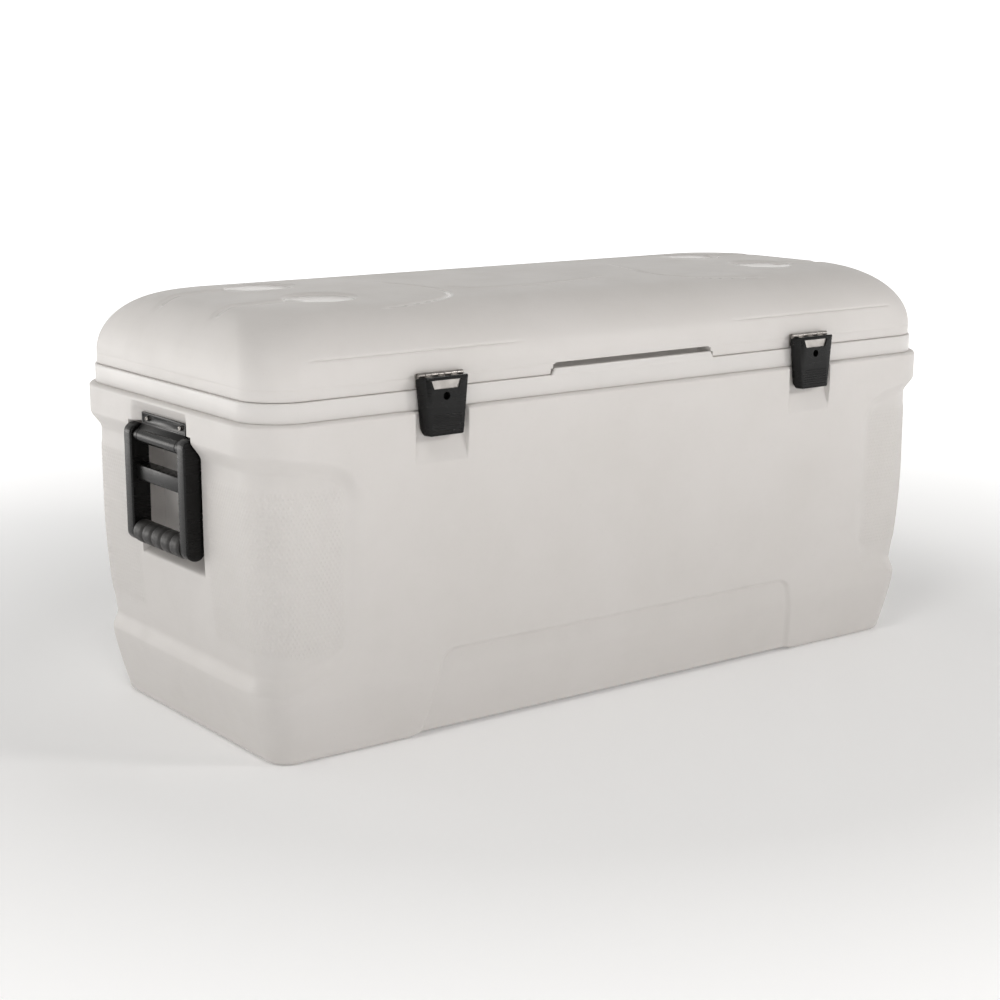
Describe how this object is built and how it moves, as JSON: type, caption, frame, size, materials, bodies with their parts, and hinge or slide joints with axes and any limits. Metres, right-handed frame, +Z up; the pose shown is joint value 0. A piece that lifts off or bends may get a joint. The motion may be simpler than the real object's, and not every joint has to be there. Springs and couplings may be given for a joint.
{
  "type": "cooler chest",
  "caption": "Long insulated cooler chest with a domed hinged lid, front latches, swing-out end handles with tie-down bars, and a threaded drain plug.",
  "frame": {"origin": "on the floor under the middle of the chest", "axes": "+X along the length, the front with the latches faces -Y, +Z up"},
  "size_m": [1.096, 0.4906, 0.5227],
  "materials": {
    "shell_plastic": "warm white moulded polyethylene, satin, fine grain",
    "liner_plastic": "white moulded polypropylene, smoother than the shell",
    "insulating_foam": "rigid polyurethane foam, hidden",
    "black_plastic": "black moulded nylon, fine grain, worn edges",
    "grip_rubber": "ribbed dark grey soft plastic",
    "seal_rubber": "black rubber",
    "stainless_steel": "brushed stainless steel"
  },
  "bodies": {
    "chest": {"outer_shell": "shell_plastic", "inner_liner": "liner_plastic", "body_foam": "insulating_foam", "drain_spout": "black_plastic", "drain_washer": "seal_rubber", "drain_nut": "black_plastic", "latch_keeper_left": "black_plastic", "handle_bracket_left": "black_plastic", "handle_pin_left": "stainless_steel", "hinge_body_leaf_left": "stainless_steel", "hinge_pin_left": "stainless_steel", "keeper_screw_left_a": "stainless_steel", "handle_screw_left_a": "stainless_steel", "hinge_body_screw_left_a": "stainless_steel", "keeper_screw_left_b": "stainless_steel", "handle_screw_left_b": "stainless_steel", "hinge_body_screw_left_b": "stainless_steel", "latch_keeper_right": "black_plastic", "handle_bracket_right": "black_plastic", "handle_pin_right": "stainless_steel", "hinge_body_leaf_right": "stainless_steel", "hinge_pin_right": "stainless_steel", "keeper_screw_right_a": "stainless_steel", "handle_screw_right_a": "stainless_steel", "hinge_body_screw_right_a": "stainless_steel", "keeper_screw_right_b": "stainless_steel", "handle_screw_right_b": "stainless_steel", "hinge_body_screw_right_b": "stainless_steel"},
    "lid": {"lid_outer": "shell_plastic", "lid_inner": "liner_plastic", "lid_foam": "insulating_foam", "latch_hinge_plate_left": "stainless_steel", "latch_pin_left": "stainless_steel", "hinge_lid_leaf_left": "stainless_steel", "latch_plate_screw_left_a": "stainless_steel", "hinge_lid_screw_left_a": "stainless_steel", "latch_plate_screw_left_b": "stainless_steel", "hinge_lid_screw_left_b": "stainless_steel", "latch_hinge_plate_right": "stainless_steel", "latch_pin_right": "stainless_steel", "hinge_lid_leaf_right": "stainless_steel", "latch_plate_screw_right_a": "stainless_steel", "hinge_lid_screw_right_a": "stainless_steel", "latch_plate_screw_right_b": "stainless_steel", "hinge_lid_screw_right_b": "stainless_steel"},
    "drain_seal_carrier": {"drain_seal": "seal_rubber"},
    "drain_cap": {"drain_cap": "black_plastic"},
    "latch_left": {"latch_lever_left": "black_plastic", "latch_leaf_left": "stainless_steel"},
    "handle_left": {"handle_bail_left": "black_plastic", "handle_grip_left": "grip_rubber"},
    "latch_right": {"latch_lever_right": "black_plastic", "latch_leaf_right": "stainless_steel"},
    "handle_right": {"handle_bail_right": "black_plastic", "handle_grip_right": "grip_rubber"}
  },
  "joints": [
    {"name": "lid_hinge", "type": "hinge", "parent": "chest", "child": "lid", "pos_m": [0, 0.2408, 0.4265], "axis": [-1, 0, 0], "range_deg": [0, 95]},
    {"name": "latch_pivot_left", "type": "hinge", "parent": "lid", "child": "latch_left", "pos_m": [-0.2957, -0.2315, 0.443], "axis": [-1, 0, 0], "range_deg": [0, 115]},
    {"name": "handle_pivot_left", "type": "hinge", "parent": "chest", "child": "handle_left", "pos_m": [-0.534, 0, 0.3565], "axis": [0, 1, 0], "range_deg": [0, 95]},
    {"name": "latch_pivot_right", "type": "hinge", "parent": "lid", "child": "latch_right", "pos_m": [0.2957, -0.2315, 0.443], "axis": [-1, 0, 0], "range_deg": [0, 115]},
    {"name": "handle_pivot_right", "type": "hinge", "parent": "chest", "child": "handle_right", "pos_m": [0.534, 0, 0.3565], "axis": [0, -1, 0], "range_deg": [0, 95]},
    {"name": "drain_travel", "type": "slide", "parent": "chest", "child": "drain_seal_carrier", "axis": [1, 0, 0], "range_m": [0, 0.0091]},
    {"name": "drain_spin", "type": "hinge", "parent": "drain_seal_carrier", "child": "drain_cap", "pos_m": [0.515, 0, 0.066], "axis": [1, 0, 0], "range_deg": [0, 1080]}
  ],
  "couplings": [
    {"joint": "drain_travel", "follows": "drain_spin", "m_per_rad": 0.00047746}
  ]
}
